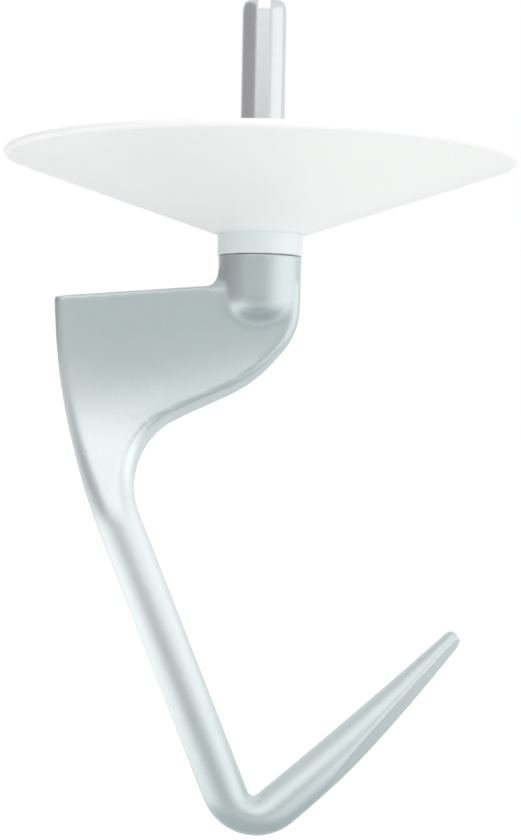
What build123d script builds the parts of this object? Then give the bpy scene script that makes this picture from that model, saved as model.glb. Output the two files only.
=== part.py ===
"""Dough hook of a stand mixer: steel drive shaft, plastic dough guard and cast aluminium hook.

Frame: +Z up along the shaft, origin on the shaft axis in the plane of the guard hub's top face, where
the mouth of the drive socket stops. The blade reaches towards -X and the tip points towards +X.
"""

import os
from math import cos, pi, radians, sin, tan

from build123d import *

os.makedirs("parts", exist_ok=True)

# Drive shaft
shaft_diameter = 9.5
shaft_reach = 43.8
lead_in_length = 2.6
lead_in_step = 0.8
slot_width = 2.7
slot_depth = 2.0
shaft_end_chamfer = 0.6

# Dough guard
guard_diameter = 110.0
guard_wall = 1.4
dish_slope = 19.0
collar_overhang = 0.25
collar_height = 4.5
collar_edge_round = 0.4
hub_wall = 2.7
hub_rise = 6.3
hub_edge_round = 0.6
running_clearance = 0.06
seat_gap = 0.2

# Snap bead at the mouth of the hub, and its room in the groove of the shaft
bead_width = 1.4
bead_height = 0.3
bead_side_gap = 0.3
bead_root_gap = 0.16

# Boss of the hook
boss_wall = 4.15
boss_length = 9.5
boss_dome = 6.0
boss_edge_round = 0.4
boss_fillet = 3.2
seat_floor = 3.5

# Blade, seen from the front
blade_reach = 43.6
blade_top_drop = 5.7
blade_top_tilt = 4.8
blade_thickness = 8.5
blade_edge_round = 1.45
blade_corner_round = 1.2
blade_back_lean = 3.3
blade_back_radius = 140.0
blade_heel_inset = 0.15
heel_drop = 16.0
heel_angle = 41.3
heel_length = 14.0
heel_radius = 13.5
belly_angle = 65.2
belly_radius = 28.0
throat_radius = 15.5
throat_run = 16.5
blade_twist = 2.2

# Arm, elbow and tip
arm_diameter = 9.4
arm_lean = 22.9
arm_forward = 10.6
elbow_diameter = 9.2
elbow_offset = -1.6
elbow_drop = 120.4
elbow_forward = 18.3
elbow_radius = 7.3
tip_rise = 38.5
tip_length = 60.4
tip_curl = 3.6
tip_return = 14.3
tip_diameter = 4.1
tip_end_round = 1.4

# Flat on the front and underside of the tip
flat_start = 10.0
flat_cut = 0.9
flat_turn = 55.0

# Sections of the casting
section_points = 48
blade_sections = 9
arm_lead = 0.1
tip_sections = 6
halvings = 30
corner_room = 0.95
seam_tolerance = 0.01

# Radii and levels that follow from the sizes above
shaft_radius = shaft_diameter / 2
bore_radius = shaft_radius + running_clearance
hub_radius = bore_radius + hub_wall
boss_radius = shaft_radius + boss_wall
collar_radius = boss_radius + collar_overhang
rim_radius = guard_diameter / 2
collar_bottom = -hub_rise - collar_height
boss_top = collar_bottom - seat_gap
dome_top = boss_top - boss_length
seat_depth = boss_length + boss_dome - seat_floor
groove_half = bead_width / 2 + bead_side_gap
groove_radius = bore_radius - bead_height - bead_root_gap
bead_level = -groove_half


# Drive shaft: a turned bar with a tapered lead-in, a cross slot and a groove for the guard
with BuildPart() as drive_shaft:
    shaft_bottom = boss_top - seat_depth
    with BuildSketch(Plane.XZ):
        with BuildLine():
            Polyline(
                (0, shaft_bottom),
                (shaft_radius - shaft_end_chamfer, shaft_bottom),
                (shaft_radius, shaft_bottom + shaft_end_chamfer),
                (shaft_radius, -2 * groove_half),
                (groove_radius, -2 * groove_half),
                (groove_radius, 0),
                (shaft_radius, 0),
                (shaft_radius, shaft_reach - lead_in_length),
                (shaft_radius - lead_in_step, shaft_reach),
                (0, shaft_reach),
                close=True,
            )
        make_face()
    revolve(axis=Axis.Z)
    with Locations((0, 0, shaft_reach)):
        Box(
            slot_width,
            shaft_diameter,
            slot_depth,
            align=(Align.CENTER, Align.CENTER, Align.MAX),
            mode=Mode.SUBTRACT,
        )

drive_shaft.part.label = "drive_shaft"
export_step(drive_shaft.part, "parts/drive_shaft.step")


# Dough guard: collar, cone and hub turned as one moulded profile with a full-round rim
with BuildPart() as dough_guard:
    dish_step = Vector(cos(radians(dish_slope)), sin(radians(dish_slope)))
    wall_step = Vector(-dish_step.Y, dish_step.X) * guard_wall
    cone_start = Vector(collar_radius, collar_bottom + collar_height)
    rim_under = rim_radius - guard_wall / 2 - wall_step.X / 2
    under_end = cone_start + dish_step * ((rim_under - collar_radius) / dish_step.X)
    inner_end = under_end + wall_step
    rim_end = (under_end + inner_end) / 2 + dish_step * (guard_wall / 2)
    dish_floor = inner_end.Y - (inner_end.X - hub_radius) * dish_step.Y / dish_step.X
    with BuildSketch(Plane.XZ) as guard_profile:
        with BuildLine():
            ThreePointArc(under_end, rim_end, inner_end)
            Polyline(
                inner_end,
                (hub_radius, dish_floor),
                (hub_radius, 0),
                (bore_radius, 0),
                (bore_radius, bead_level + bead_width / 2),
                (bore_radius - bead_height, bead_level),
                (bore_radius, bead_level - bead_width / 2),
                (bore_radius, collar_bottom),
                (collar_radius, collar_bottom),
                cone_start,
                under_end,
            )
        make_face()
        collar_edge = guard_profile.vertices().sort_by_distance((collar_radius, collar_bottom))[0]
        fillet(collar_edge, collar_edge_round)
        hub_edge = guard_profile.vertices().sort_by_distance((hub_radius, 0))[0]
        fillet(hub_edge, hub_edge_round)
    revolve(axis=Axis.Z)

dough_guard.part.label = "dough_guard"
export_step(dough_guard.part, "parts/dough_guard.step")


# Hook: its outline in the front view, as (across, up)
def turned(angle):
    """Unit step in the front view that leans by an angle from straight down towards +X."""
    return Vector(sin(radians(angle)), -cos(radians(angle)))


def meet(point, step, other_point, other_step):
    """Crossing of two lines in the front view."""
    gap = other_point - point
    spread = step.X * other_step.Y - step.Y * other_step.X
    return point + step * ((gap.X * other_step.Y - gap.Y * other_step.X) / spread)


def eased(points, radii):
    """Radii for the corners of an outline, each kept within the room that its two runs leave it."""
    kept = []
    last = len(radii) - 1
    for index, radius in enumerate(radii):
        before = points[index + 1] - points[index]
        after = points[index + 2] - points[index + 1]
        room_before = before.length if index == 0 else before.length / 2
        room_after = after.length if index == last else after.length / 2
        half_turn = radians(before.get_angle(after) / 2)
        kept.append(min(radius, corner_room * min(room_before, room_after) / tan(half_turn)))
    return kept


elbow_corner = Vector(elbow_offset, boss_top - elbow_drop)
arm_step = turned(arm_lean)
arm_across = Vector(-arm_step.Y, arm_step.X)
arm_half = arm_across * (arm_diameter / 2)

# The blade's lower edge runs from the boss into the right of the arm
heel_top = Vector(boss_radius - blade_heel_inset, boss_top)
heel_corner = Vector(heel_top.X, boss_top - heel_drop)
belly_corner = heel_corner + turned(-heel_angle) * heel_length
throat_corner = meet(belly_corner, turned(-belly_angle), elbow_corner + arm_half, arm_step)
arm_right = throat_corner + arm_step * throat_run
lower_points = [heel_top, heel_corner, belly_corner, throat_corner, arm_right]

with BuildLine() as lower_edge:
    FilletPolyline(*lower_points, radius=eased(lower_points, [heel_radius, belly_radius, throat_radius]))

# Its back edge runs from the top corner into the left of the arm
arm_start = arm_right - arm_half
arm_left = arm_start - arm_half
blade_top_level = boss_top - blade_top_drop
blade_corner = Vector(-blade_reach, blade_top_level - blade_reach * tan(radians(blade_top_tilt)))
back_corner = meet(blade_corner, turned(blade_back_lean), arm_left, arm_step)
back_points = [blade_corner, back_corner, arm_left]

with BuildLine() as back_edge:
    FilletPolyline(*back_points, radius=eased(back_points, [blade_back_radius]))


def lower_end(start, step):
    """Point of the lower edge on a line across the blade."""
    low, high = 0.0, 1.0
    for _ in range(halvings):
        middle = (low + high) / 2
        reach = lower_edge.line @ middle - start
        if step.X * reach.Y - step.Y * reach.X > 0:
            low = middle
        else:
            high = middle
    return lower_edge.line @ high


def in_depth(flat, forward):
    """Point of the front view brought towards the front."""
    return Vector(flat.X, -forward, flat.Y)


def rounded_section(plane, width, thickness, softness):
    """Closed section on a plane: flat in its middle, with round edges, and a circle where softness is
    a quarter of the width."""
    width_power = width / 2 / softness
    thickness_power = thickness / 2 / softness
    points = []
    for index in range(section_points):
        angle = 2 * pi * index / section_points
        share = sin(angle)
        height = (1 - abs(share) ** width_power) ** (1 / thickness_power)
        side = 1 if cos(angle) > 0 else -1
        points.append((width / 2 * share, side * thickness / 2 * height))
    with BuildSketch(plane) as outline:
        with BuildLine():
            Spline(*points, periodic=True)
        make_face()
    return outline.sketch


# Centre lines of the arm and the tip in space, and the bend between them
arm_top = in_depth(arm_start, arm_forward)
elbow = in_depth(elbow_corner, elbow_forward)
tip_end = in_depth(elbow_corner + turned(90 + tip_rise) * tip_length, elbow_forward - tip_return)
arm_line = (elbow - arm_top).normalized()
tip_line = (tip_end - elbow).normalized()
bend_angle = arm_line.get_angle(tip_line)
bend_run = elbow_radius * tan(radians(bend_angle / 2))
bend_start = elbow - arm_line * bend_run
bend_end = elbow + tip_line * bend_run
bend_normal = arm_line.cross(tip_line).normalized()
bend_axis = Axis(bend_start + bend_normal.cross(arm_line) * elbow_radius, bend_normal)

# The blade comes forward on its way down and meets the arm at the arm's own slope
blade_fall = blade_corner.Y - arm_left.Y
arm_slope = (elbow_forward - arm_forward) / (arm_start.Y - elbow_corner.Y)
end_slope = arm_slope * blade_fall / arm_forward

blade_shapes = []
for index in range(blade_sections):
    share = index / blade_sections
    left = back_edge.line @ share
    tilt = radians(blade_top_tilt + (arm_lean - blade_top_tilt) * share)
    right = lower_end(left, Vector(cos(tilt), sin(tilt)))
    forward = arm_forward * ((3 - end_slope) * share**2 - (2 - end_slope) * share**3)
    slope = arm_forward / blade_fall * (2 * (3 - end_slope) * share - 3 * (2 - end_slope) * share**2)
    twist = blade_twist * sin(pi * share)
    left_point = in_depth(left, forward + twist)
    right_point = in_depth(right, forward - twist)
    across = right_point - left_point
    down = Vector(sin(tilt), -slope, -cos(tilt))
    down = down - across * (down.dot(across) / across.dot(across))
    blade_shapes.append(
        rounded_section(
            Plane(origin=(left_point + right_point) / 2, x_dir=across, z_dir=down),
            across.length,
            blade_thickness + (arm_diameter - blade_thickness) * share,
            blade_edge_round + (arm_diameter / 4 - blade_edge_round) * share,
        )
    )

arm_side = Vector(arm_across.X, 0, arm_across.Y)


def arm_shape(share):
    """Round section of the arm, from 0 at its top to 1 where the bend starts."""
    diameter = arm_diameter + (elbow_diameter - arm_diameter) * share
    plane = Plane(origin=arm_top + (bend_start - arm_top) * share, x_dir=arm_side, z_dir=arm_line)
    return rounded_section(plane, diameter, diameter, diameter / 4)


blade_shapes.append(arm_shape(0))
blade_shapes.append(arm_shape(arm_lead))
arm_shapes = [arm_shape(arm_lead), arm_shape(1)]

# The tip tapers and curls up a little on its way out
tip_side = arm_side.rotate(Axis((0, 0, 0), bend_normal), bend_angle)
tip_inward = bend_normal.cross(tip_line)
tip_run = (tip_end - bend_end).length


def tip_centre(share):
    """Point on the tip's centre line, from 0 at the bend to 1 at the end."""
    return bend_end + tip_line * (tip_run * share) + tip_inward * (tip_curl * share**2)


def tip_size(share):
    """Diameter of the tip, from 0 at the bend to 1 at the end."""
    return elbow_diameter - (elbow_diameter - tip_diameter) * share**2


tip_shapes = []
for index in range(tip_sections):
    share = index / (tip_sections - 1)
    size = tip_size(share)
    plane = Plane(origin=tip_centre(share), x_dir=tip_side, z_dir=tip_line)
    tip_shapes.append(rounded_section(plane, size, size, size / 4))

# The flat leaves the surface soon after the bend and is deepest at the end
flat_side = bend_normal * cos(radians(flat_turn)) - tip_inward * sin(radians(flat_turn))
flat_share = flat_start / tip_run
flat_from = tip_centre(flat_share) + flat_side * (tip_size(flat_share) / 2)
flat_to = tip_centre(1) + flat_side * (tip_diameter / 2 - flat_cut)
flat_along = (flat_to - flat_from).normalized()
flat_face = Plane(origin=flat_from, x_dir=flat_along, z_dir=flat_side - flat_along * flat_side.dot(flat_along))

# Boss: a round bar with a domed foot
with BuildPart() as boss:
    with BuildSketch(Plane.YZ) as boss_profile:
        with BuildLine():
            EllipticalCenterArc((0, dome_top), boss_radius, boss_dome, start_angle=270, arc_size=90)
            Polyline(
                (boss_radius, dome_top),
                (boss_radius, boss_top),
                (0, boss_top),
                (0, dome_top - boss_dome),
            )
        make_face()
        top_corner = boss_profile.vertices().group_by(Axis.X)[-1].sort_by(Axis.Y)[-1]
        fillet(top_corner, boss_edge_round)
    revolve(axis=Axis.Z)

# Hook: blade, arm, elbow and tip cast in one with the boss that holds the shaft
with BuildPart() as hook:
    loft(blade_shapes)
    top_rim = hook.edges().sort_by(Axis.Z)[-1]
    fillet(top_rim, blade_corner_round)
    loft(arm_shapes)
    revolve(arm_shapes[-1], axis=bend_axis, revolution_arc=bend_angle)
    loft(tip_shapes)
    tip_rim = hook.edges().sort_by(Axis.X)[-1]
    fillet(tip_rim, tip_end_round)
    with Locations(flat_face):
        Box(
            2 * tip_run,
            elbow_diameter,
            elbow_diameter,
            align=(Align.CENTER, Align.CENTER, Align.MIN),
            mode=Mode.SUBTRACT,
        )
    own_edges = hook.edges() + boss.edges()
    add(boss.part)
    blend_edges = hook.edges().filter_by(
        lambda edge: all(own.distance_to(edge @ 0.5) > seam_tolerance for own in own_edges)
    )
    fillet(blend_edges, boss_fillet)
    with Locations((0, 0, boss_top)):
        Cylinder(
            shaft_radius,
            seat_depth,
            align=(Align.CENTER, Align.CENTER, Align.MAX),
            mode=Mode.SUBTRACT,
        )

hook.part.label = "hook"
export_step(hook.part, "parts/hook.step")
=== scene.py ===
"""Looks of a stand mixer dough hook: turned steel shaft, moulded white guard and blasted cast hook."""

from math import copysign, cos, pi, radians, sin, tan
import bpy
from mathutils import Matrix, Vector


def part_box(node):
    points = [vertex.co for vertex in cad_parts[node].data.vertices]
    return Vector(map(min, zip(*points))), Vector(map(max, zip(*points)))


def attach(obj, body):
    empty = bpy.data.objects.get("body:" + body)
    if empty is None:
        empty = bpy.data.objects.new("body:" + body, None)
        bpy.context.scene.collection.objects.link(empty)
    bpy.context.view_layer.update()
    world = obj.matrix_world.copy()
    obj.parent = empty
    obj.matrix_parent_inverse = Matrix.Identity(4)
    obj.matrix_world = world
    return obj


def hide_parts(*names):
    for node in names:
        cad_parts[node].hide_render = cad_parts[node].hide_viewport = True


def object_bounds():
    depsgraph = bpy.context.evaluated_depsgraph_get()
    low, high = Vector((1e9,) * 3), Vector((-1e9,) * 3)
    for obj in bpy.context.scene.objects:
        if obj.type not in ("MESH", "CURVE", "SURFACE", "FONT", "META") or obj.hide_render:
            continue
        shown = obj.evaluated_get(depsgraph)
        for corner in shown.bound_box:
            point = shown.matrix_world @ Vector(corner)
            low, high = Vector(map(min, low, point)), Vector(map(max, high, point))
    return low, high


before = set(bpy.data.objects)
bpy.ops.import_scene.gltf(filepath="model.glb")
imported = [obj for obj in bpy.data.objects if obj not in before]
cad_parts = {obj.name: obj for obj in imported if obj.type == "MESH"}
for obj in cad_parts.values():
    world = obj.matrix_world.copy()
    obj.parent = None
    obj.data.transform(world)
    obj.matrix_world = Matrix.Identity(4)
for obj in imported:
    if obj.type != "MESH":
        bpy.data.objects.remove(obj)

from types import SimpleNamespace

import bpy
from mathutils import Matrix, Vector

bl_info = {
    "name": "Dough hook",
    "version": (1, 0, 0),
    "blender": (4, 5, 0),
    "location": "View3D > Sidebar > Dough hook",
    "description": "Dresses a stand mixer dough hook and sets it on a white studio stage",
    "category": "Object",
}

MM = 0.001
CAD_LOW, CAD_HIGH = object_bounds()
BOSS_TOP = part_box("hook")[1].z
GUARD_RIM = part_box("dough_guard")[1].x
FULL_TURN = 2 * pi
QUARTER_TURN = pi / 2
SMOOTH_ANGLE = radians(30)

# Steps of the meshes. The casting's mesh is evened out afterwards
ARC_STEPS = 24
RING_POINTS = 64
BLADE_STEPS = 48
ARM_STEPS = 30
BEND_STEPS = 16
TIP_STEPS = 30
DOME_STEPS = 12

# The tip's rounded end: its length as a share of its diameter, and a power below 1 that makes it blunt
TIP_ROUND = 1 / 3
TIP_BLUNTNESS = 0.5

# Sockets of a Mix node that mixes colours
MIX_SHARE = 0
MIX_FIRST = 6
MIX_SECOND = 7
MIX_RESULT = 2

# Most values of a noise texture lie between these two
NOISE_LOW = 0.3
NOISE_HIGH = 0.7
# A wave texture repeats over this length, divided by its scale
WAVE_LENGTH = FULL_TURN / 20
# Scale of a pattern that is drawn out round the shaft, as the tool runs round it
ROUND_THE_SHAFT = (0.05, 0.05, 1)
# Factor that leaves a place's distance from the shaft's axis
FROM_THE_AXIS = (1, 1, 0)
# White polypropylene bends light by this index, and takes in all colours equally deep
POLYPROPYLENE_IOR = 1.49
EQUALLY_DEEP = (1, 1, 1)
# The painted light on the hook grows downwards and towards the blade's back edge
PAINTED_LIGHT_WAY = (-0.6, 0, -1)

# Stage, in metres and watts
FLOOR_SIDE = 40
KEY_PLACE = Vector((0.8, -0.5, 0.4))
KEY_SIDE = 0.9
KEY_POWER = 4
CAMERA_PLACE = Vector((0.76, -429.4, -45.9)) * MM
CAMERA_ROLL = radians(-1.06)
# Long side of the camera's sensor, in millimetres
SENSOR_SIDE = 36
# Focal length and long side of the photograph, in pixels
PHOTO_FOCUS = 2000
PHOTO_SIDE = 840


def linear(code):
    """Linear colour of an sRGB hex code."""
    shares = [int(code[place : place + 2], 16) / 255 for place in (1, 3, 5)]
    parts = [share / 12.92 if share <= 0.04045 else ((share + 0.055) / 1.055) ** 2.4 for share in shares]
    return parts + [1]


def add_node(tree, kind, settings=None, links=None):
    """Add a node, set its values and sockets, by name or number, and link its inputs to outputs."""
    node = tree.nodes.new(kind)
    for name, value in (settings or {}).items():
        if isinstance(name, str) and hasattr(node, name):
            setattr(node, name, value)
        else:
            node.inputs[name].default_value = value
    for name, output in (links or {}).items():
        tree.links.new(output, node.inputs[name])
    return node


def new_material(name):
    """Empty material with its node tree."""
    material = bpy.data.materials.new(name)
    material.use_nodes = True
    material.node_tree.nodes.clear()
    return material, material.node_tree


def finish_material(tree, shader):
    """Lead a shader to the material's output."""
    add_node(tree, "ShaderNodeOutputMaterial", links={"Surface": shader.outputs[0]})


def colour_property(name, description, code):
    """Colour that a user can change, written as an sRGB hex code."""
    return bpy.props.FloatVectorProperty(
        name=name, description=description, subtype="COLOR", size=4, min=0, max=1, default=linear(code)
    )


def share_property(name, description, default):
    """Share between 0 and 1 that a user can change."""
    return bpy.props.FloatProperty(
        name=name, description=description, subtype="FACTOR", min=0, max=1, default=default
    )


def length_property(name, description, default):
    """Length in metres that a user can change."""
    return bpy.props.FloatProperty(
        name=name, description=description, subtype="DISTANCE", unit="LENGTH", precision=5, default=default
    )


def angle_property(name, description, degrees):
    """Angle that a user can change."""
    return bpy.props.FloatProperty(
        name=name, description=description, subtype="ANGLE", unit="ROTATION", default=radians(degrees)
    )


class ShaftLooks(bpy.types.PropertyGroup):
    """Finish of the drive shaft."""

    steel: colour_property("Steel", "Colour of the turned stainless steel", "#D3D6D7")
    smoothest: share_property("Smoothest", "Least blur of the steel's reflections", 0.21)
    roughest: share_property("Roughest", "Most blur of the steel's reflections", 0.28)
    band: length_property("Band", "Width of the bands of uneven polish", 1.2 * MM)
    line_spacing: length_property("Line spacing", "Distance between the turning lines", 0.45 * MM)
    line_depth: length_property("Line depth", "Depth of the turning lines", 0.0015 * MM)


class ShaftSizes(bpy.types.PropertyGroup):
    """Sizes of the drive shaft."""

    lead_in_length: length_property("Lead-in length", "Length of the rounded lead-in", 2.6 * MM)
    lead_in_step: length_property("Lead-in step", "Depth of the rounded lead-in", 0.95 * MM)
    slot_width: length_property("Slot width", "Width of the cross slot", 2.6 * MM)
    slot_depth: length_property("Slot depth", "Depth of the cross slot", 2.1 * MM)
    groove_length: length_property("Groove length", "Length of the groove for the guard", 2 * MM)
    groove_depth: length_property("Groove depth", "Depth of the groove for the guard", 0.4 * MM)
    end_chamfer: length_property("End chamfer", "Chamfer of the lower end", 0.6 * MM)


class GuardLooks(bpy.types.PropertyGroup):
    """Finish of the dough guard."""

    plastic: colour_property("Plastic", "Colour of the moulded white plastic", "#F4F6F4")
    # Painted shade and light: the next colour is a shaded copy of the plastic for the collar, the one after
    # it a lit copy for the rim, placed by the radii and widths below
    collar_shade: colour_property("Collar", "Colour of the plastic where it is thick", "#E6EDED")
    rim: colour_property("Rim", "Colour of the plastic where light leaves it at the rim", "#FFFFFF")
    smoothest: share_property("Smoothest", "Least blur of the plastic's sheen", 0.33)
    roughest: share_property("Roughest", "Most blur of the plastic's sheen", 0.39)
    flow: length_property("Flow", "Size of the clouds that the flow of the plastic leaves", 18 * MM)
    grain: length_property("Grain", "Size of the faint grain of the mould", 0.5 * MM)
    grain_depth: length_property("Grain depth", "Depth of the faint grain of the mould", 0.002 * MM)
    milkiness: share_property("Milkiness", "Share of the light that goes into the plastic", 0.3)
    light_depth: length_property("Light depth", "Depth that light reaches in the plastic", 2 * MM)
    rim_width: length_property("Rim width", "Width of the lighter rim", 1.3 * MM)
    rim_fade: length_property("Rim fade", "Distance over which the rim gets lighter", 0.4 * MM)
    collar_radius: length_property("Collar radius", "Radius within which the plastic is thick", 9.2 * MM)
    collar_fade: length_property("Collar fade", "Distance over which the wall gets thin", 1.3 * MM)


class HookLooks(bpy.types.PropertyGroup):
    """Finish of the cast hook."""

    aluminium: colour_property("Aluminium", "Colour of the blasted cast aluminium", "#CCD5D6")
    # Painted light: the next colour is a lit copy of the aluminium, and the values from its start to the
    # cloud shift place it on the arm and the lower left of the blade, as where they face the light
    lit_aluminium: colour_property("Worn", "Colour of the aluminium that the dough rubs bright", "#E2E8E9")
    smoothest: share_property("Smoothest", "Least blur of the aluminium's reflections", 0.38)
    roughest: share_property("Roughest", "Most blur of the aluminium's reflections", 0.46)
    grain: length_property("Grain", "Size of the blasted grain", 0.42 * MM)
    grain_depth: length_property("Grain depth", "Depth of the blasted grain", 0.02 * MM)
    pit: length_property("Pit spacing", "Distance between the casting pits", 9 * MM)
    pit_floor: length_property("Pit floor", "Radius of a pit's floor", 0.135 * MM)
    pit_rim: length_property("Pit rim", "Radius of a pit's rim", 0.36 * MM)
    pit_depth: length_property("Pit depth", "Depth of the casting pits", 0.08 * MM)
    painted_light_start: length_property("Wear start", "Distance along the wear where it starts", 50 * MM)
    painted_light_full: length_property("Wear full", "Distance along the wear where it is full", 78 * MM)
    painted_light_near: length_property("Wear near", "Place beside the shaft where the wear is least", -4 * MM)
    painted_light_far: length_property("Wear far", "Place beside the shaft where the wear is full", -26 * MM)
    painted_light_least: share_property("Wear least", "Share of the wear that is left near the shaft", 0.25)
    cloud: length_property("Cloud", "Size of the clouds at the border of the wear", 14 * MM)
    cloud_shift: length_property("Cloud shift", "Distance by which the clouds move that border", 8 * MM)


class HookSizes(bpy.types.PropertyGroup):
    """Sizes of the cast hook."""

    boss_radius: length_property("Boss radius", "Radius of the boss that holds the shaft", 8.9 * MM)
    boss_lift: length_property("Boss lift", "Height of the boss's face over the CAD face", 0.12 * MM)
    boss_length: length_property("Boss length", "Length of the boss's straight side", 9.5 * MM)
    boss_dome: length_property("Boss dome", "Height of the boss's domed foot", 6 * MM)
    blade_reach: length_property("Blade reach", "Distance from the shaft to the blade's corner", 43.6 * MM)
    blade_drop: length_property("Blade drop", "Height of the boss's top above the blade", 5.7 * MM)
    blade_tilt: angle_property("Blade tilt", "Slope of the blade's top edge", 4.8)
    blade_thickness: length_property("Blade thickness", "Thickness of the blade", 8.5 * MM)
    blade_round: length_property("Blade round", "Rounding of the blade's edges", 1.9 * MM)
    blade_lean: angle_property("Blade lean", "Slope of the blade's back edge", 3.3)
    blade_bow: length_property("Blade bow", "Radius of the blade's back edge", 126 * MM)
    blade_set: length_property("Blade set", "Distance of the blade's top before the shaft", 1.5 * MM)
    blade_lag: share_property("Blade lag", "Share by which the lower edge lags the back edge", 0.04)
    blade_delay: bpy.props.FloatProperty(
        name="Blade delay", description="Power by which the blade comes forward late", min=1, default=2.2
    )
    heel_drop: length_property("Heel drop", "Height of the boss's top above the heel", 16 * MM)
    heel_inset: length_property("Heel inset", "Step from the boss to the heel", 0.15 * MM)
    heel_angle: angle_property("Heel angle", "Slope of the heel", 41.3)
    heel_length: length_property("Heel length", "Length of the heel", 14 * MM)
    heel_radius: length_property("Heel radius", "Rounding of the heel", 13.5 * MM)
    belly_angle: angle_property("Belly angle", "Slope of the blade's lower edge", 65.2)
    belly_radius: length_property("Belly radius", "Rounding of the blade's lower edge", 28 * MM)
    throat_radius: length_property("Throat radius", "Hollow between the blade and the arm", 15.5 * MM)
    throat_run: length_property("Throat run", "Length of the throat along the arm", 16.5 * MM)
    arm_diameter: length_property("Arm diameter", "Diameter of the arm's top", 9.4 * MM)
    arm_lean: angle_property("Arm lean", "Slope of the arm", 22.9)
    arm_forward: length_property("Arm forward", "Distance of the arm's top before the shaft", 10.6 * MM)
    elbow_diameter: length_property("Elbow diameter", "Diameter of the elbow", 9.2 * MM)
    elbow_offset: length_property("Elbow offset", "Distance of the elbow beside the shaft", -1.6 * MM)
    elbow_drop: length_property("Elbow drop", "Height of the boss's top above the elbow", 120.4 * MM)
    elbow_forward: length_property("Elbow forward", "Distance of the elbow before the shaft", 18.3 * MM)
    elbow_outer: length_property("Elbow outer radius", "Radius of the elbow's outer side", 11.9 * MM)
    elbow_inner: length_property("Elbow inner radius", "Radius of the elbow's inner side", 1.0 * MM)
    tip_rise: angle_property("Tip rise", "Slope of the tip", 38.5)
    tip_length: length_property("Tip length", "Length of the tip from the elbow", 60.4 * MM)
    tip_return: length_property("Tip return", "Distance that the tip goes back", 14.3 * MM)
    tip_curl: length_property("Tip curl", "Upward curl of the tip", 3.6 * MM)
    tip_diameter: length_property("Tip diameter", "Diameter of the tip's end", 4.1 * MM)
    flat_start: length_property("Flat start", "Distance of the tip's flat from the bend", 10 * MM)
    flat_cut: length_property("Flat cut", "Depth of the flat at the tip's end", 0.9 * MM)
    flat_turn: angle_property("Flat turn", "Turn of the flat from the front to the underside", 55)
    grid: length_property("Grid", "Size of the faces of the finished mesh", 0.38 * MM)
    softening: bpy.props.IntProperty(
        name="Softening", description="Rounds of smoothing over the whole casting", min=0, default=12
    )
    blending: bpy.props.IntProperty(
        name="Blending", description="Rounds of smoothing where the boss meets the blade", min=0, default=40
    )
    blend_fade: length_property("Blend fade", "Distance over which the blend fades out", 2.5 * MM)
    blend_top: length_property("Blend top", "Height of the boss's face above the blend", 1 * MM)
    blend_beside: length_property("Blend beside", "Reach of the blend beside the boss", 3.75 * MM)
    blend_below: length_property("Blend below", "Reach of the blend below the boss's foot", 2.5 * MM)
    face_fade: length_property("Face fade", "Depth over which the softening sets in", 1.25 * MM)
    nook_thickness: length_property("Nook thickness", "Thickness of the web in the nook", 4.6 * MM)
    nook_radius: length_property("Nook radius", "Hollow between the blade's top edge and the boss", 3 * MM)
    nook_run: length_property("Nook run", "Length of the web along the blade's top edge", 6 * MM)
    nook_rise: length_property("Nook rise", "Height of the web on the boss's side", 3.9 * MM)
    nook_root: length_property("Nook root", "Depth of the web in the boss and the blade", 3 * MM)


class StageLooks(bpy.types.PropertyGroup):
    """Studio around the object."""

    white: colour_property("White", "Colour of the background and the bright cards", "#FFFFFF")
    paper: colour_property("Paper", "Colour of the floor's matt paper", "#FBFBFB")
    paper_glow: share_property("Paper glow", "Strength that lifts the floor to white for the eye", 0.45)
    light_level: share_property("Light level", "Strength of the background as a light", 0.84)
    side_card: colour_property("Side card", "Grey that shades the casting's left side", "#727C7E")
    shaft_card: colour_property("Shaft card", "Grey that shades the shaft's left side", "#B9B6B9")
    under_card: colour_property("Under card", "Grey of the cards under the hook", "#C4CDCD")
    front_card: colour_property("Front card", "Grey of the card that the metal's face mirrors", "#9CA6A6")
    gleam: share_property("Gleam", "Strength of the bright cards above white", 0.35)
    floor_gap: length_property("Floor gap", "Height of the hanging hook above the floor", 120 * MM)


def uneven_finish(tree, noise, looks):
    """Roughness that follows a noise from a finish's smoothest to its roughest."""
    finish = add_node(
        tree,
        "ShaderNodeMapRange",
        {
            "From Min": NOISE_LOW,
            "From Max": NOISE_HIGH,
            "To Min": looks.smoothest,
            "To Max": looks.roughest,
        },
        {"Value": noise.outputs["Fac"]},
    )
    return finish.outputs[0]


def turned_steel(looks):
    """Stainless steel bar, turned on a lathe: bright, with fine rings that break up the reflections."""
    material, tree = new_material("turned_stainless_steel")
    place = add_node(tree, "ShaderNodeTexCoord").outputs["Object"]
    # The feed of the tool leaves rings about 0.15 mm apart, drawn coarser so that they show
    rings = add_node(
        tree,
        "ShaderNodeTexWave",
        {"bands_direction": "Z", "Scale": WAVE_LENGTH / looks.line_spacing},
        {"Vector": place},
    )
    bump = add_node(
        tree, "ShaderNodeBump", {"Distance": looks.line_depth}, {"Height": rings.outputs["Fac"]}
    )
    # The polish isn't even: bands of it run round the bar
    stretch = add_node(tree, "ShaderNodeMapping", {"Scale": ROUND_THE_SHAFT}, {"Vector": place})
    bands = add_node(
        tree, "ShaderNodeTexNoise", {"Scale": 1 / looks.band, "Detail": 3}, {"Vector": stretch.outputs[0]}
    )
    shader = add_node(
        tree,
        "ShaderNodeBsdfPrincipled",
        {"Base Color": looks.steel, "Metallic": 1},
        {"Roughness": uneven_finish(tree, bands, looks), "Normal": bump.outputs[0]},
    )
    finish_material(tree, shader)
    return material


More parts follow.
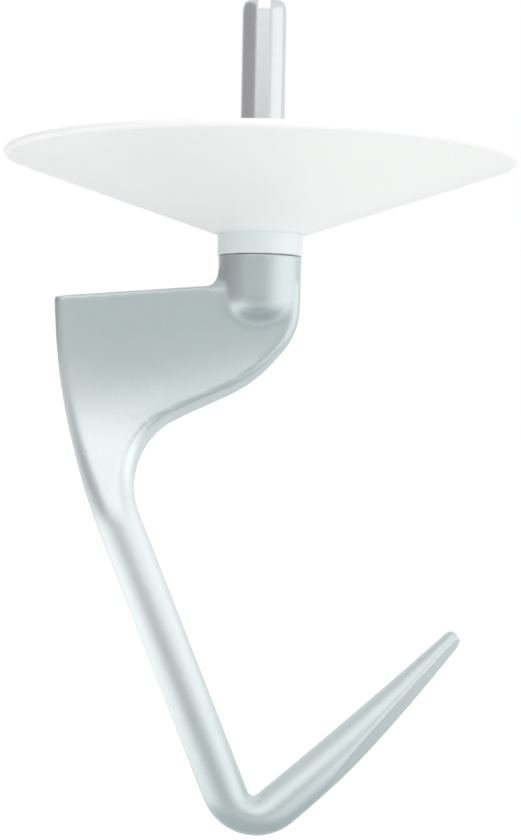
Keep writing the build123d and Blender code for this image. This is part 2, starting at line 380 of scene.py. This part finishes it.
def moulded_plastic(looks):
    """White polypropylene from a satin mould: milky, with a soft wide sheen and a barely seen grain."""
    material, tree = new_material("moulded_white_polypropylene")
    place = add_node(tree, "ShaderNodeTexCoord").outputs["Object"]
    # The mould's spark-eroded grain is about 0.05 mm, drawn coarser so that it shows
    grain = add_node(
        tree, "ShaderNodeTexNoise", {"Scale": 1 / looks.grain, "Detail": 2}, {"Vector": place}
    )
    bump = add_node(
        tree, "ShaderNodeBump", {"Distance": looks.grain_depth}, {"Height": grain.outputs["Fac"]}
    )
    # The sheen varies in soft clouds, as the plastic flowed
    flow = add_node(tree, "ShaderNodeTexNoise", {"Scale": 1 / looks.flow, "Detail": 1}, {"Vector": place})
    # Painted shade and painted light: the collar is painted greyer, as in the shade under the guard, and
    # the rim is painted whiter, as where light comes through its thin milky edge
    aside = add_node(tree, "ShaderNodeVectorMath", {"operation": "MULTIPLY", 1: FROM_THE_AXIS}, {0: place})
    reach = add_node(tree, "ShaderNodeVectorMath", {"operation": "LENGTH"}, {0: aside.outputs[0]})
    unshaded = add_node(
        tree,
        "ShaderNodeMapRange",
        {"From Min": looks.collar_radius, "From Max": looks.collar_radius + looks.collar_fade},
        {"Value": reach.outputs["Value"]},
    )
    wall = add_node(
        tree,
        "ShaderNodeMix",
        {"data_type": "RGBA", MIX_FIRST: looks.collar_shade, MIX_SECOND: looks.plastic},
        {MIX_SHARE: unshaded.outputs[0]},
    )
    # Painted light: the rim's outer band is painted whiter
    rim_start = GUARD_RIM - looks.rim_width
    edge = add_node(
        tree,
        "ShaderNodeMapRange",
        {"From Min": rim_start, "From Max": rim_start + looks.rim_fade},
        {"Value": reach.outputs["Value"]},
    )
    colour = add_node(
        tree,
        "ShaderNodeMix",
        {"data_type": "RGBA", MIX_SECOND: looks.rim},
        {MIX_SHARE: edge.outputs[0], MIX_FIRST: wall.outputs[MIX_RESULT]},
    )
    shader = add_node(
        tree,
        "ShaderNodeBsdfPrincipled",
        {
            "IOR": POLYPROPYLENE_IOR,
            "Subsurface Weight": looks.milkiness,
            "Subsurface Radius": EQUALLY_DEEP,
            "Subsurface Scale": looks.light_depth,
        },
        {
            "Base Color": colour.outputs[MIX_RESULT],
            "Roughness": uneven_finish(tree, flow, looks),
            "Normal": bump.outputs[0],
        },
    )
    finish_material(tree, shader)
    return material


def blasted_aluminium(looks):
    """Die-cast aluminium, bead blasted: an even satin grey that takes light softly, with a few pits, and
    painted light that makes the arm and the lower left of the blade lighter.
    """
    material, tree = new_material("blasted_cast_aluminium")
    place = add_node(tree, "ShaderNodeTexCoord").outputs["Object"]
    # Glass beads leave dimples about 0.1 mm wide, drawn coarser so that they just show
    grain = add_node(
        tree, "ShaderNodeTexNoise", {"Scale": 1 / looks.grain, "Detail": 3}, {"Vector": place}
    )
    blasted = add_node(
        tree, "ShaderNodeBump", {"Distance": looks.grain_depth}, {"Height": grain.outputs["Fac"]}
    )
    # Gas pits of the casting: the middles of a few scattered cells
    cells = add_node(tree, "ShaderNodeTexVoronoi", {"Scale": 1 / looks.pit}, {"Vector": place})
    holes = add_node(
        tree,
        "ShaderNodeMapRange",
        {"From Min": looks.pit_floor / looks.pit, "From Max": looks.pit_rim / looks.pit},
        {"Value": cells.outputs["Distance"]},
    )
    pitted = add_node(
        tree,
        "ShaderNodeBump",
        {"Distance": looks.pit_depth},
        {"Height": holes.outputs[0], "Normal": blasted.outputs[0]},
    )
    # Painted light: the arm and the lower left of the blade are painted lighter, as where they face the
    # light, with soft clouds at the border
    clouds = add_node(
        tree, "ShaderNodeTexNoise", {"Scale": 1 / looks.cloud, "Detail": 3}, {"Vector": place}
    )
    way = add_node(tree, "ShaderNodeVectorMath", {"operation": "DOT_PRODUCT", 1: PAINTED_LIGHT_WAY}, {0: place})
    cloudy = add_node(
        tree,
        "ShaderNodeMath",
        {"operation": "MULTIPLY_ADD", 1: looks.cloud_shift},
        {0: clouds.outputs["Fac"], 2: way.outputs["Value"]},
    )
    painted_light = add_node(
        tree,
        "ShaderNodeMapRange",
        {
            "interpolation_type": "SMOOTHSTEP",
            "From Min": looks.painted_light_start,
            "From Max": looks.painted_light_full,
        },
        {"Value": cloudy.outputs[0]},
    )
    aside = add_node(tree, "ShaderNodeSeparateXYZ", links={"Vector": place})
    sideways = add_node(
        tree,
        "ShaderNodeMapRange",
        {"From Min": looks.painted_light_near, "From Max": looks.painted_light_far, "To Min": looks.painted_light_least},
        {"Value": aside.outputs["X"]},
    )
    painted_light_share = add_node(
        tree,
        "ShaderNodeMath",
        {"operation": "MULTIPLY"},
        {0: painted_light.outputs[0], 1: sideways.outputs[0]},
    )
    # Painted light: the aluminium turns into its lit copy where the painted light lies
    colour = add_node(
        tree,
        "ShaderNodeMix",
        {"data_type": "RGBA", MIX_FIRST: looks.aluminium, MIX_SECOND: looks.lit_aluminium},
        {MIX_SHARE: painted_light_share.outputs[0]},
    )
    shader = add_node(
        tree,
        "ShaderNodeBsdfPrincipled",
        {"Metallic": 1},
        {
            "Base Color": colour.outputs[MIX_RESULT],
            "Roughness": uneven_finish(tree, grain, looks),
            "Normal": pitted.outputs[0],
        },
    )
    finish_material(tree, shader)
    return material


def dress(node, material):
    """Give every slot of a node one material."""
    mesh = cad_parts[node].data
    if not mesh.materials:
        mesh.materials.append(material)
    for place in range(len(mesh.materials)):
        mesh.materials[place] = material


class DressDoughGuard(bpy.types.Operator):
    """Finish the dough guard in moulded white plastic."""

    bl_idname = "dough_hook.dress_dough_guard"
    bl_label = "Dough guard"

    def execute(self, context):
        dress("dough_guard", moulded_plastic(context.scene.guard_looks))
        return {"FINISHED"}


def leaning(angle):
    """Step in the front view that leans by an angle from straight down towards +X."""
    return Vector((sin(angle), -cos(angle)))


def crossing(point, step, other_point, other_step):
    """Crossing of two lines in the front view."""
    return point + step * ((other_point - point).cross(other_step) / step.cross(other_step))


def rounded_path(corners, radii):
    """Points of a run of straight lines with rounded corners."""
    path = [corners[0]]
    for before, corner, after, radius in zip(corners, corners[1:], corners[2:], radii):
        into = (corner - before).normalized()
        away = (after - corner).normalized()
        half_turn = into.angle(away) / 2
        centre = corner + (away - into).normalized() * (radius / cos(half_turn))
        first = (corner - into * radius * tan(half_turn) - centre).normalized()
        last = (corner + away * radius * tan(half_turn) - centre).normalized()
        path += [centre + first.slerp(last, step / ARC_STEPS) * radius for step in range(ARC_STEPS + 1)]
    return path + [corners[-1]]


def point_at(path, share):
    """Point at a share of a path's length."""
    runs = [(end - start).length for start, end in zip(path, path[1:])]
    left = share * sum(runs)
    for start, end, run in zip(path, path[1:], runs):
        if left <= run:
            return start.lerp(end, left / run)
        left -= run
    return path[-1]


def edge_across(path, start, step):
    """Point where a line across the blade meets a path."""
    for before, after in zip(path, path[1:]):
        above, below = step.cross(before - start), step.cross(after - start)
        if above > 0 >= below:
            return before.lerp(after, above / (above - below))
    raise RuntimeError("A line across the blade misses its lower edge")


def in_depth(flat, forward):
    """Point of the front view brought towards the front."""
    return Vector((flat.x, -forward, flat.y))


def section(centre, across, along, width, thickness, corner):
    """Closed section with rounded corners, and a circle where both sizes are twice the corner."""
    across = across.normalized()
    front = across.cross(along).normalized()
    points = []
    for index in range(RING_POINTS):
        angle = FULL_TURN * (index + 0.5) / RING_POINTS
        side, face = cos(angle), sin(angle)
        points.append(
            centre
            + across * (copysign(width / 2 - corner, side) + corner * side)
            + front * (copysign(thickness / 2 - corner, face) + corner * face)
        )
    return points


def circle(centre, across, along, diameter):
    """Round section."""
    return section(centre, across, along, diameter, diameter, diameter / 2)


def hook_lines(sizes):
    """Lines that the hook follows: the blade's edges in the front view, and the arm and tip in depth."""
    lines = SimpleNamespace()
    elbow_corner = Vector((sizes.elbow_offset, BOSS_TOP - sizes.elbow_drop))
    arm_step = leaning(sizes.arm_lean)
    arm_half = Vector((-arm_step.y, arm_step.x)) * (sizes.arm_diameter / 2)
    heel_top = Vector((sizes.boss_radius - sizes.heel_inset, BOSS_TOP))
    heel = heel_top - Vector((0, sizes.heel_drop))
    belly = heel + leaning(-sizes.heel_angle) * sizes.heel_length
    throat = crossing(belly, leaning(-sizes.belly_angle), elbow_corner + arm_half, arm_step)
    arm_right = throat + arm_step * sizes.throat_run
    arm_start = arm_right - arm_half
    arm_left = arm_start - arm_half
    lines.lower_edge = rounded_path(
        [heel_top, heel, belly, throat, arm_right],
        [sizes.heel_radius, sizes.belly_radius, sizes.throat_radius],
    )
    corner_drop = sizes.blade_drop + sizes.blade_reach * tan(sizes.blade_tilt)
    blade_corner = Vector((-sizes.blade_reach, BOSS_TOP - corner_drop))
    back = crossing(blade_corner, leaning(sizes.blade_lean), arm_left, arm_step)
    lines.back_edge = rounded_path([blade_corner, back, arm_left], [sizes.blade_bow])

    lines.arm_top = in_depth(arm_start, sizes.arm_forward)
    lines.elbow = in_depth(elbow_corner, sizes.elbow_forward)
    lines.tip_end = in_depth(
        elbow_corner + leaning(QUARTER_TURN + sizes.tip_rise) * sizes.tip_length,
        sizes.elbow_forward - sizes.tip_return,
    )
    lines.arm_way = (lines.elbow - lines.arm_top).normalized()
    lines.tip_way = (lines.tip_end - lines.elbow).normalized()
    lines.arm_side = in_depth(arm_half.normalized(), 0)
    lines.bend = lines.arm_way.angle(lines.tip_way)
    lines.bend_axis = lines.arm_way.cross(lines.tip_way).normalized()
    bend_run = (sizes.elbow_outer - sizes.elbow_diameter / 2) * tan(lines.bend / 2)
    lines.bend_start = lines.elbow - lines.arm_way * bend_run
    lines.bend_end = lines.elbow + lines.tip_way * bend_run
    return lines


def blade_sections(sizes, lines):
    """Sections of the blade, which stands nearly upright and comes forward to the arm low down."""
    fall = lines.back_edge[0].y - lines.back_edge[-1].y
    arm_slope = (sizes.elbow_forward - sizes.arm_forward) / (lines.arm_top.z - lines.elbow.z)
    advance = sizes.arm_forward - sizes.blade_set
    end_slope = arm_slope * fall / advance / sizes.blade_delay

    def forward(share):
        """Distance before the shaft: a cubic that starts level and ends at the slope of the arm."""
        late = share**sizes.blade_delay
        return sizes.blade_set + advance * ((3 - end_slope) * late**2 - (2 - end_slope) * late**3)

    ends = []
    for index in range(BLADE_STEPS + 1):
        share = index / BLADE_STEPS
        left = point_at(lines.back_edge, share)
        right = lines.lower_edge[-1]
        if share < 1:
            tilt = sizes.blade_tilt + (sizes.arm_lean - sizes.blade_tilt) * share
            right = edge_across(lines.lower_edge, left, Vector((cos(tilt), sin(tilt))))
        lagging = share - sizes.blade_lag * sin(pi * share)
        ends.append((in_depth(left, forward(share)), in_depth(right, forward(lagging))))
    sections = []
    for index, (left, right) in enumerate(ends[:-1]):
        share = index / BLADE_STEPS
        above, below = ends[max(0, index - 1)], ends[index + 1]
        sections.append(
            section(
                (left + right) / 2,
                right - left,
                below[0] + below[1] - above[0] - above[1],
                (right - left).length,
                sizes.blade_thickness + (sizes.arm_diameter - sizes.blade_thickness) * share,
                sizes.blade_round + (sizes.arm_diameter / 2 - sizes.blade_round) * share**2,
            )
        )
    return sections


def arm_sections(sizes, lines):
    """Sections of the arm from the blade to the elbow."""
    sections = []
    for index in range(ARM_STEPS + 1):
        share = index / ARM_STEPS
        centre = lines.arm_top.lerp(lines.bend_start, share)
        size = sizes.arm_diameter + (sizes.elbow_diameter - sizes.arm_diameter) * share
        sections.append(circle(centre, lines.arm_side, lines.arm_way, size))
    return sections


def elbow_sections(sizes, lines, start_points):
    """Sections of the elbow, where each point turns on a radius of its own, small on the inner side."""
    outside = lines.arm_way.cross(lines.bend_axis)
    corner_way = (outside + Matrix.Rotation(lines.bend, 3, lines.bend_axis) @ outside).normalized()
    sections = []
    for index in range(BEND_STEPS + 1):
        spoke = Matrix.Rotation(lines.bend * index / BEND_STEPS, 3, lines.bend_axis) @ outside
        ring = []
        for point in start_points:
            offset = (point - lines.bend_start).dot(outside)
            share = 0.5 + offset / sizes.elbow_diameter
            radius = sizes.elbow_inner + (sizes.elbow_outer - sizes.elbow_inner) * share
            hub = lines.elbow + corner_way * ((offset - radius) / cos(lines.bend / 2))
            height = (point - lines.bend_start).dot(lines.bend_axis)
            ring.append(hub + spoke * radius + lines.bend_axis * height)
        sections.append(ring)
    return sections


def tip_sections(sizes, lines):
    """Sections of the tip, which tapers and curls up to a round end, and the plane of its flat."""
    side = Matrix.Rotation(lines.bend, 3, lines.bend_axis) @ lines.arm_side
    inward = lines.bend_axis.cross(lines.tip_way)
    run = (lines.tip_end - lines.bend_end).length

    def centre(share):
        """Middle of the tip at a share of its length."""
        return lines.bend_end + lines.tip_way * (run * share) + inward * (sizes.tip_curl * share**2)

    def diameter(share):
        """Diameter of the tip at a share of its length."""
        return sizes.elbow_diameter - (sizes.elbow_diameter - sizes.tip_diameter) * share**2

    sections = []
    round_share = 1 - sizes.tip_diameter * TIP_ROUND / run
    for index in range(1, TIP_STEPS + 1):
        share = round_share * index / TIP_STEPS
        sections.append(circle(centre(share), side, lines.tip_way, diameter(share)))
    for index in range(1, DOME_STEPS):
        angle = QUARTER_TURN * index / DOME_STEPS
        share = round_share + (1 - round_share) * sin(angle)
        size = diameter(share) * cos(angle) ** TIP_BLUNTNESS
        sections.append(circle(centre(share), side, lines.tip_way, size))

    # The flat leaves the surface soon after the bend and is deepest at the end
    outward = lines.bend_axis * cos(sizes.flat_turn) - inward * sin(sizes.flat_turn)
    flat_share = sizes.flat_start / run
    flat_from = centre(flat_share) + outward * (diameter(flat_share) / 2)
    flat_to = centre(1) + outward * (sizes.tip_diameter / 2 - sizes.flat_cut)
    flat_along = (flat_to - flat_from).normalized()
    return sections, (flat_from, outward - flat_along * outward.dot(flat_along))


def boss_sections(sizes):
    """Sections of the boss from its top to the end of its domed foot."""
    across, down = Vector((1, 0, 0)), Vector((0, 0, -1))
    places = [(sizes.boss_radius, -sizes.boss_lift), (sizes.boss_radius, sizes.boss_length)]
    for index in range(1, DOME_STEPS):
        angle = QUARTER_TURN * index / DOME_STEPS
        places.append((sizes.boss_radius * cos(angle), sizes.boss_length + sizes.boss_dome * sin(angle)))
    return [circle(Vector((0, 0, BOSS_TOP - drop)), across, down, 2 * radius) for radius, drop in places]


def nook_sections(sizes):
    """Front and back of the web that fills the nook between the blade's top edge and the boss."""
    along = -Vector((cos(sizes.blade_tilt), sin(sizes.blade_tilt)))
    drop = sizes.blade_drop + sizes.boss_radius * tan(sizes.blade_tilt)
    corner = Vector((-sizes.boss_radius, BOSS_TOP - drop))
    start = corner + along * sizes.nook_run
    end = corner + Vector((0, sizes.nook_rise))
    root = sizes.nook_root
    outline = rounded_path([start, corner, end], [sizes.nook_radius])
    outline += [end + Vector((root, 0)), corner + Vector((root, -root)), start - Vector((0, root))]
    half = sizes.nook_thickness / 2
    return [[in_depth(point, sizes.blade_set + side) for point in outline] for side in (half, -half)]


def select_only(piece):
    """Make a piece the only one that the operators act on."""
    bpy.ops.object.select_all(action="DESELECT")
    piece.select_set(True)
    bpy.context.view_layer.objects.active = piece


def add_tube(name, sections):
    """Closed mesh through sections in order."""
    count = len(sections[0])
    points = [point for ring in sections for point in ring]
    faces = []
    for start in range(0, len(points) - count, count):
        for index in range(count):
            after = (index + 1) % count
            faces.append((start + index, start + after, start + count + after, start + count + index))
    faces.append(range(count))
    faces.append(range(len(points) - count, len(points)))
    mesh = bpy.data.meshes.new(name)
    mesh.from_pydata(points, [], faces)
    tube = bpy.data.objects.new(name, mesh)
    bpy.context.scene.collection.objects.link(tube)
    select_only(tube)
    bpy.ops.object.mode_set(mode="EDIT")
    bpy.ops.mesh.select_all(action="SELECT")
    bpy.ops.mesh.normals_make_consistent(inside=False)
    bpy.ops.object.mode_set(mode="OBJECT")
    return tube


class TurnDriveShaft(bpy.types.Operator):
    """Turn the drive shaft from steel bar and mill its cross slot."""

    bl_idname = "dough_hook.turn_drive_shaft"
    bl_label = "Drive shaft"

    def execute(self, context):
        sizes = context.scene.shaft_sizes
        low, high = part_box("drive_shaft")
        radius = (high.y - low.y) / 2
        groove = radius - sizes.groove_depth
        places = [
            (radius - sizes.end_chamfer, low.z),
            (radius, low.z + sizes.end_chamfer),
            (radius, -sizes.groove_length),
            (groove, -sizes.groove_length),
            (groove, 0),
            (radius, 0),
        ]
        for index in range(DOME_STEPS + 1):
            angle = QUARTER_TURN * index / DOME_STEPS
            level = high.z - sizes.lead_in_length * (1 - sin(angle))
            places.append((radius - sizes.lead_in_step * (1 - cos(angle)), level))
        across, up = Vector((1, 0, 0)), Vector((0, 0, 1))
        rings = [circle(up * level, across, up, 2 * size) for size, level in places]
        shaft = add_tube("turned_shaft", rings)

        # The cutter stands half above the bar's end, and is twice as long as the bar is wide
        bpy.ops.object.select_all(action="DESELECT")
        bpy.ops.mesh.primitive_cube_add(size=2, location=(0, 0, high.z))
        cutter = context.object
        cutter.scale = (sizes.slot_width / 2, 2 * radius, sizes.slot_depth)
        bpy.ops.object.transform_apply(location=True, rotation=True, scale=True)
        select_only(shaft)
        slot = shaft.modifiers.new("slot", "BOOLEAN")
        slot.operation = "DIFFERENCE"
        slot.object = cutter
        bpy.ops.object.modifier_apply(modifier=slot.name)
        bpy.data.objects.remove(cutter)
        bpy.ops.object.shade_smooth_by_angle(angle=SMOOTH_ANGLE)
        shaft.data.materials.clear()
        shaft.data.materials.append(turned_steel(context.scene.shaft_looks))
        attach(shaft, "hook")
        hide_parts("drive_shaft")
        return {"FINISHED"}


def soften(hook, sizes):
    """Smooth the casting below the boss's face, and most where the boss meets the blade."""
    rounds = {"casting": sizes.softening, "near_boss": sizes.blending}
    groups = {name: hook.vertex_groups.new(name=name) for name in rounds}
    foot = BOSS_TOP - sizes.boss_length - sizes.boss_dome
    for vertex in hook.data.vertices:
        place = vertex.co
        under = BOSS_TOP - place.z
        above = place.z - foot + sizes.blend_below
        aside = sizes.boss_radius + sizes.blend_beside - place.xy.length
        shares = {
            "casting": under / sizes.face_fade,
            "near_boss": min(under - sizes.blend_top, above, aside) / sizes.blend_fade,
        }
        for name, share in shares.items():
            if share > 0:
                groups[name].add([vertex.index], min(1, share), "REPLACE")
    for name, iterations in rounds.items():
        smooth = hook.modifiers.new(name, "SMOOTH")
        smooth.iterations = iterations
        smooth.vertex_group = name
        bpy.ops.object.modifier_apply(modifier=name)


class CastHook(bpy.types.Operator):
    """Cast the hook in blasted aluminium: boss, blade, arm, elbow and tip flow into one another."""

    bl_idname = "dough_hook.cast_hook"
    bl_label = "Hook"

    def execute(self, context):
        sizes = context.scene.hook_sizes
        boss = add_tube("hook_boss", boss_sections(sizes))
        nook = add_tube("hook_nook", nook_sections(sizes))
        lines = hook_lines(sizes)
        sections = blade_sections(sizes, lines) + arm_sections(sizes, lines)
        sections += elbow_sections(sizes, lines, sections[-1])
        last_sections, (flat_place, flat_side) = tip_sections(sizes, lines)
        hook = add_tube("cast_hook", sections + last_sections)
        bpy.ops.object.mode_set(mode="EDIT")
        bpy.ops.mesh.select_all(action="SELECT")
        bpy.ops.mesh.bisect(plane_co=flat_place, plane_no=flat_side, use_fill=True, clear_outer=True)
        bpy.ops.object.mode_set(mode="OBJECT")
        boss.select_set(True)
        nook.select_set(True)
        bpy.ops.object.join()

        # One even skin over all the forms
        skin = hook.modifiers.new("skin", "REMESH")
        skin.mode = "VOXEL"
        skin.voxel_size = sizes.grid
        bpy.ops.object.modifier_apply(modifier=skin.name)
        soften(hook, sizes)
        bpy.ops.object.shade_smooth()
        hook.data.materials.clear()
        hook.data.materials.append(blasted_aluminium(context.scene.hook_looks))
        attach(hook, "hook")
        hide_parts("hook")
        return {"FINISHED"}


def white_for_the_eye(tree):
    """Share that is 1 for rays of the camera and for what metal and glass mirror, and 0 for light."""
    path = add_node(tree, "ShaderNodeLightPath")
    seen = path.outputs["Is Camera Ray"]
    for ray in ("Is Glossy Ray", "Is Transmission Ray"):
        either = add_node(
            tree, "ShaderNodeMath", {"operation": "MAXIMUM"}, {0: seen, 1: path.outputs[ray]}
        )
        seen = either.outputs[0]
    return seen


def studio_world(looks):
    """White surroundings, a little darker as a light than to the eye."""
    world = bpy.data.worlds.new("white_studio")
    world.use_nodes = True
    tree = world.node_tree
    tree.nodes.clear()
    level = add_node(
        tree, "ShaderNodeMapRange", {"To Min": looks.light_level}, {"Value": white_for_the_eye(tree)}
    )
    sky = add_node(tree, "ShaderNodeBackground", {"Color": looks.white}, {"Strength": level.outputs[0]})
    add_node(tree, "ShaderNodeOutputWorld", links={"Surface": sky.outputs[0]})
    return world


def floor_paper(looks):
    """Matt white studio paper, lifted to white so that only a deep shadow shows, and clear from beneath."""
    material, tree = new_material("matt_white_paper")
    seen = add_node(tree, "ShaderNodeLightPath").outputs["Is Camera Ray"]
    lift = add_node(tree, "ShaderNodeMapRange", {"To Max": looks.paper_glow}, {"Value": seen})
    glow = add_node(tree, "ShaderNodeEmission", {"Color": looks.white}, {"Strength": lift.outputs[0]})
    paper = add_node(tree, "ShaderNodeBsdfDiffuse", {"Color": looks.paper})
    top = add_node(tree, "ShaderNodeAddShader", links={0: glow.outputs[0], 1: paper.outputs[0]})
    under = add_node(tree, "ShaderNodeNewGeometry").outputs["Backfacing"]
    clear = add_node(tree, "ShaderNodeBsdfTransparent")
    sheet = add_node(
        tree, "ShaderNodeMixShader", links={0: under, 1: top.outputs[0], 2: clear.outputs[0]}
    )
    finish_material(tree, sheet)
    return material


def studio_card(name, colour, strength):
    """Matt card, seen only as a shade or a gleam in the metal."""
    material, tree = new_material(name)
    finish_material(tree, add_node(tree, "ShaderNodeEmission", {"Color": colour, "Strength": strength}))
    return material


def add_sheet(name, centre, turn, size, material):
    """Flat sheet of the stage."""
    bpy.ops.object.select_all(action="DESELECT")
    bpy.ops.mesh.primitive_plane_add(size=1, location=centre, rotation=turn)
    sheet = bpy.context.object
    sheet.name = name
    sheet.scale = (*size, 1)
    sheet.data.materials.append(material)
    return sheet


def add_lamp(name, place, target, side, power):
    """Soft square lamp that faces a point and isn't mirrored in the metal."""
    lamp = bpy.data.lights.new(name, "AREA")
    lamp.size = side
    lamp.energy = power
    holder = bpy.data.objects.new(name, lamp)
    holder.location = place
    holder.rotation_euler = (target - place).to_track_quat("-Z", "Y").to_euler()
    holder.visible_camera = False
    holder.visible_glossy = False
    bpy.context.scene.collection.objects.link(holder)


def add_camera():
    """Camera that stands level and a little rolled, as for the photograph."""
    lens = bpy.data.cameras.new("camera")
    lens.sensor_width = SENSOR_SIDE
    lens.lens = SENSOR_SIDE * PHOTO_FOCUS / PHOTO_SIDE
    camera = bpy.data.objects.new("camera", lens)
    camera.location = CAMERA_PLACE
    camera.rotation_euler = (QUARTER_TURN, CAMERA_ROLL, 0)
    bpy.context.scene.collection.objects.link(camera)
    return camera


class SetStage(bpy.types.Operator):
    """Set the floor, the light and the camera."""

    bl_idname = "dough_hook.set_stage"
    bl_label = "Stage"

    def execute(self, context):
        scene = context.scene
        looks = scene.stage_looks
        scene.view_settings.view_transform = "Standard"

        scene.world = studio_world(looks)
        floor_level = CAD_LOW.z - looks.floor_gap
        floor_size = (FLOOR_SIDE, FLOOR_SIDE)
        add_sheet("floor", (0, 0, floor_level), (0, 0, 0), floor_size, floor_paper(looks))

        # Cards that the metal mirrors: centre in metres, turn in degrees, size in metres, colour, strength
        gleam = 1 + looks.gleam
        cards = {
            "side_card": ((-0.5, 0.03, -0.025), (0, 90, 0), (0.07, 1.16), looks.side_card, 1),
            "shaft_card": ((-0.5, 0.03, 0.235), (0, 90, 0), (0.45, 1.16), looks.shaft_card, 1),
            "front_card": ((-0.08, -0.6, -0.04), (90, 0, 0), (0.76, 0.22), looks.front_card, 1),
            "low_card": ((-0.5, 0, -0.24), (0, 0, 0), (0.6, 0.8), looks.white, gleam),
            "under_card": ((0, -0.17, -0.24), (0, 0, 0), (0.34, 0.46), looks.under_card, 1),
            "tip_card": ((0.16, 0.025, -0.24), (0, 0, 0), (0.22, 0.15), looks.under_card, 1),
            "right_card": ((0.6, -0.2, 0.05), (0, 90, 0), (0.5, 0.9), looks.white, gleam),
            "high_card": ((-0.1, -0.6, 0.4), (50, 0, 0), (0.9, 0.5), looks.white, gleam),
        }
        for name, (centre, turn, size, colour, strength) in cards.items():
            angles = [radians(angle) for angle in turn]
            card = add_sheet(name, centre, angles, size, studio_card(name, colour, strength))
            card.visible_camera = False
            card.visible_diffuse = False
            card.visible_shadow = False

        middle = (CAD_LOW + CAD_HIGH) / 2
        add_lamp("key_lamp", KEY_PLACE, middle, KEY_SIDE, KEY_POWER)

        scene.camera = add_camera()
        return {"FINISHED"}


class DoughHookPanel(bpy.types.Panel):
    """Sizes, looks and operators of the dough hook, in the sidebar."""

    bl_idname = "VIEW3D_PT_dough_hook"
    bl_label = "Dough hook"
    bl_space_type = "VIEW_3D"
    bl_region_type = "UI"
    bl_category = "Dough hook"

    def draw(self, context):
        for operator, groups in OPERATORS.items():
            box = self.layout.box()
            for group in groups:
                values = getattr(context.scene, group)
                for name in values.__annotations__:
                    box.prop(values, name)
            box.operator(operator.bl_idname)


GROUPS = {
    "shaft_looks": ShaftLooks,
    "shaft_sizes": ShaftSizes,
    "guard_looks": GuardLooks,
    "hook_looks": HookLooks,
    "hook_sizes": HookSizes,
    "stage_looks": StageLooks,
}
OPERATORS = {
    TurnDriveShaft: ("shaft_sizes", "shaft_looks"),
    DressDoughGuard: ("guard_looks",),
    CastHook: ("hook_sizes", "hook_looks"),
    SetStage: ("stage_looks",),
}


def register():
    """Make the groups, the operators and the panel known to Blender."""
    for name, group in GROUPS.items():
        bpy.utils.register_class(group)
        setattr(bpy.types.Scene, name, bpy.props.PointerProperty(type=group))
    for operator in OPERATORS:
        bpy.utils.register_class(operator)
    bpy.utils.register_class(DoughHookPanel)


def unregister():
    """Take back what register did."""
    bpy.utils.unregister_class(DoughHookPanel)
    for operator in OPERATORS:
        bpy.utils.unregister_class(operator)
    for name, group in GROUPS.items():
        delattr(bpy.types.Scene, name)
        bpy.utils.unregister_class(group)


def main():
    """Make all pieces and the stage."""
    register()
    bpy.ops.dough_hook.turn_drive_shaft()
    bpy.ops.dough_hook.dress_dough_guard()
    bpy.ops.dough_hook.cast_hook()
    bpy.ops.dough_hook.set_stage()


if __name__ == "__main__":
    main()
